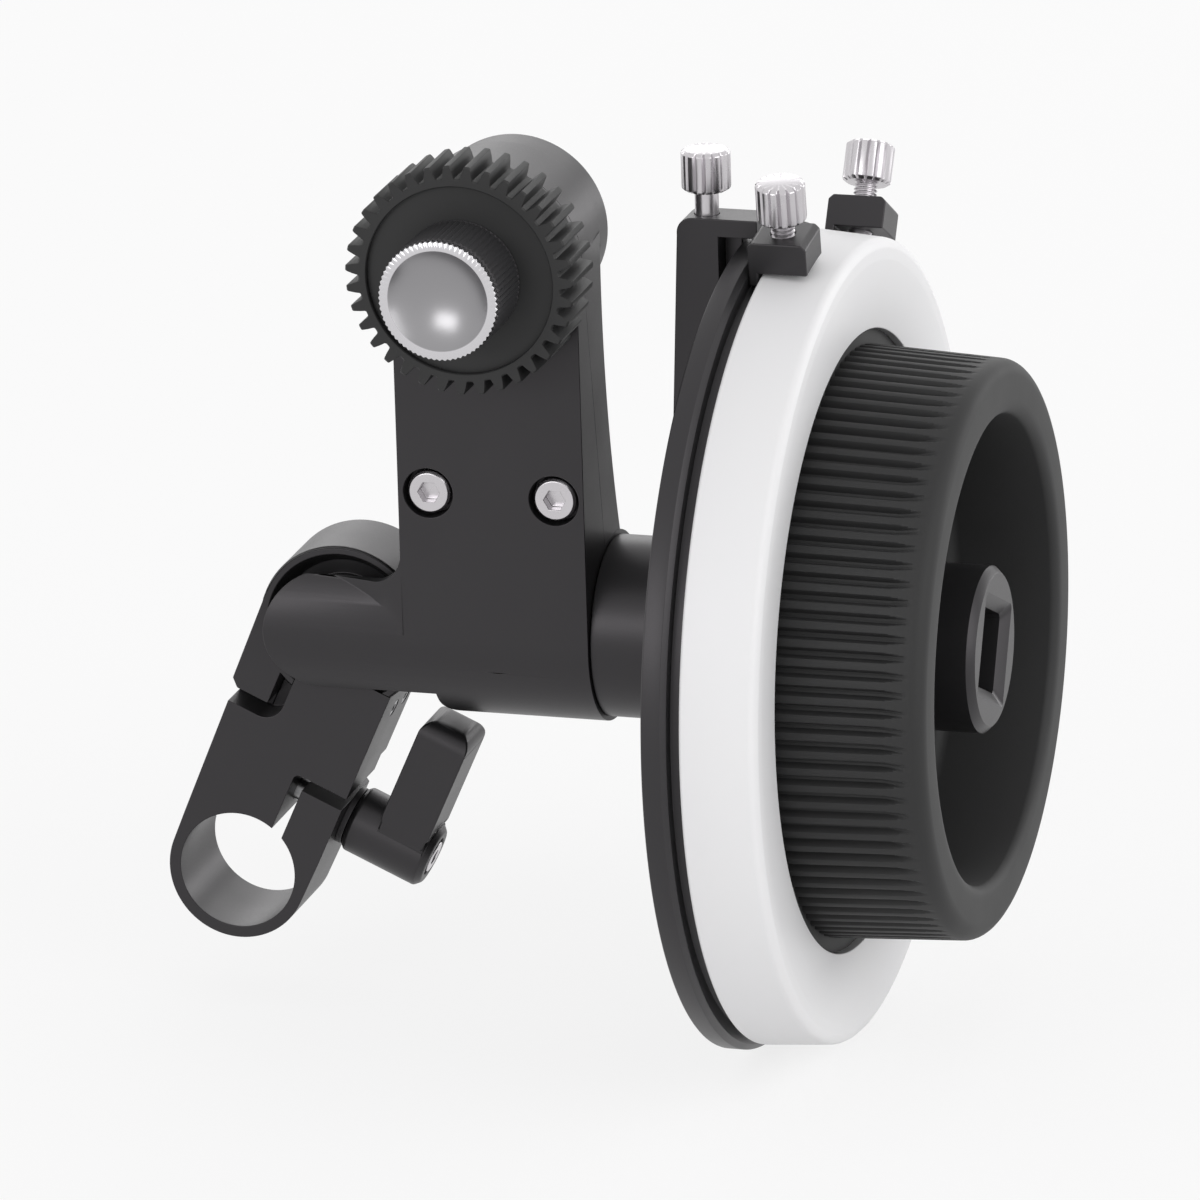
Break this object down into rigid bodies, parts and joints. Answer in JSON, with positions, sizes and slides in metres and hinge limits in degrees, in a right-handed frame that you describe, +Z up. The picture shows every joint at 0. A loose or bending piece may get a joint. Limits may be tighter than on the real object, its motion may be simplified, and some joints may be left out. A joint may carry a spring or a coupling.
{
  "type": "follow focus unit",
  "caption": "Rod-mounted follow focus unit: swinging gearbox column with a drive gear, white-edged hand wheel with hard stops, and a lever clamp.",
  "frame": {"origin": "middle of the rod bore, on its axis", "axes": "+X along the hand-wheel axis towards the grip, +Y along the support rod towards the rear, +Z up along the gear column"},
  "size_m": [0.1076, 0.104, 0.1177],
  "materials": {
    "anodised": "black satin anodised",
    "steel": "plain turned steel",
    "bright_steel": "bright nickel plate",
    "bronze": "sintered bronze",
    "brass": "cut brass",
    "gear_plastic": "black acetal",
    "white_plastic": "white write-on plastic",
    "grip_rubber": "matt black rubber"
  },
  "bodies": {
    "clamp_base": {"rod_clamp_bracket": "anodised", "swing_knuckle": "anodised", "knuckle_screws": "steel", "clamp_washer": "anodised"},
    "clamp_lever": {"clamp_lever": "anodised", "clamp_screw": "steel", "lever_end_screw": "bright_steel"},
    "gearbox": {"gearbox_body": "anodised", "gearbox_rear_cover": "anodised", "cover_screws": "bright_steel", "wheel_collar": "anodised", "cross_shaft_bushings": "bronze", "wheel_bearings": "steel", "bearing_spacer": "steel", "idler_pins": "steel", "output_bearings": "steel", "pivot_bolt": "steel", "pivot_washer": "steel", "index_arm": "anodised", "index_arm_screw": "steel"},
    "hand_wheel": {"wheel_shaft": "steel", "wheel_bevel_gear": "steel", "rear_disc": "anodised", "marking_disc": "white_plastic", "hand_grip": "grip_rubber", "wheel_hub": "anodised", "disc_screws": "steel"},
    "cross_shaft": {"cross_shaft": "steel", "cross_bevel_gear": "steel", "cross_spur_gear": "steel"},
    "lower_idler": {"lower_idler_gear": "brass"},
    "middle_idler": {"middle_idler_gear": "brass"},
    "upper_idler": {"upper_idler_gear": "brass"},
    "output": {"output_shaft": "steel", "output_spur_gear": "steel", "drive_gear": "gear_plastic"},
    "gear_knob": {"gear_knob": "anodised", "gear_knob_cap": "bright_steel"},
    "index_thumbscrew": {"index_thumbscrew": "bright_steel"},
    "front_stop": {"front_stop_block": "anodised"},
    "front_thumbscrew": {"front_stop_thumbscrew": "bright_steel"},
    "rear_stop": {"rear_stop_block": "anodised"},
    "rear_thumbscrew": {"rear_stop_thumbscrew": "bright_steel"}
  },
  "joints": [
    {"name": "lever_turn", "type": "hinge", "parent": "clamp_base", "child": "clamp_lever", "pos_m": [0.01361, 0, 0.00581], "axis": [0.911, 0, -0.4123], "range_deg": [-60, 60]},
    {"name": "gearbox_swing", "type": "hinge", "parent": "clamp_base", "child": "gearbox", "pos_m": [0.01511, 0.0013, 0.03339], "axis": [0, 1, 0], "range_deg": [-60, 0]},
    {"name": "wheel_spin", "type": "hinge", "parent": "gearbox", "child": "hand_wheel", "pos_m": [0.03661, 0.0013, 0.03339], "axis": [1, 0, 0], "continuous": true},
    {"name": "cross_shaft_spin", "type": "hinge", "parent": "gearbox", "child": "cross_shaft", "pos_m": [0.03661, 0.0013, 0.03339], "axis": [0, 1, 0], "continuous": true},
    {"name": "lower_idler_spin", "type": "hinge", "parent": "gearbox", "child": "lower_idler", "pos_m": [0.03661, 0.0013, 0.04599], "axis": [0, 1, 0], "continuous": true},
    {"name": "middle_idler_spin", "type": "hinge", "parent": "gearbox", "child": "middle_idler", "pos_m": [0.03661, 0.0013, 0.05859], "axis": [0, 1, 0], "continuous": true},
    {"name": "upper_idler_spin", "type": "hinge", "parent": "gearbox", "child": "upper_idler", "pos_m": [0.03661, 0.0013, 0.07149], "axis": [0, 1, 0], "continuous": true},
    {"name": "output_spin", "type": "hinge", "parent": "gearbox", "child": "output", "pos_m": [0.03661, 0.0013, 0.08439], "axis": [0, 1, 0], "continuous": true},
    {"name": "gear_knob_turn", "type": "hinge", "parent": "output", "child": "gear_knob", "pos_m": [0.03661, 0.0013, 0.08439], "axis": [0, 1, 0], "range_deg": [0, 270]},
    {"name": "index_thumbscrew_turn", "type": "hinge", "parent": "gearbox", "child": "index_thumbscrew", "pos_m": [0.06261, -0.0002, 0.08939], "axis": [0, 0, 1], "range_deg": [0, 270]},
    {"name": "front_stop_slide_round", "type": "hinge", "parent": "hand_wheel", "child": "front_stop", "pos_m": [0.03661, 0.0013, 0.03339], "axis": [1, 0, 0], "range_deg": [-10, 150]},
    {"name": "front_thumbscrew_turn", "type": "hinge", "parent": "front_stop", "child": "front_thumbscrew", "pos_m": [0.07421, -0.00669, 0.08882], "axis": [0, -0.1426, 0.9898], "range_deg": [0, 270]},
    {"name": "rear_stop_slide_round", "type": "hinge", "parent": "hand_wheel", "child": "rear_stop", "pos_m": [0.03661, 0.0013, 0.03339], "axis": [1, 0, 0], "range_deg": [-150, 10]},
    {"name": "rear_thumbscrew_turn", "type": "hinge", "parent": "rear_stop", "child": "rear_thumbscrew", "pos_m": [0.07421, 0.03014, 0.08139], "axis": [0, 0.515, 0.8572], "range_deg": [0, 270]}
  ],
  "couplings": [
    {"joint": "cross_shaft_spin", "follows": "wheel_spin", "ratio": -1},
    {"joint": "lower_idler_spin", "follows": "wheel_spin", "ratio": 1.3333},
    {"joint": "middle_idler_spin", "follows": "wheel_spin", "ratio": -1},
    {"joint": "upper_idler_spin", "follows": "wheel_spin", "ratio": 1.2632},
    {"joint": "output_spin", "follows": "wheel_spin", "ratio": -1}
  ]
}
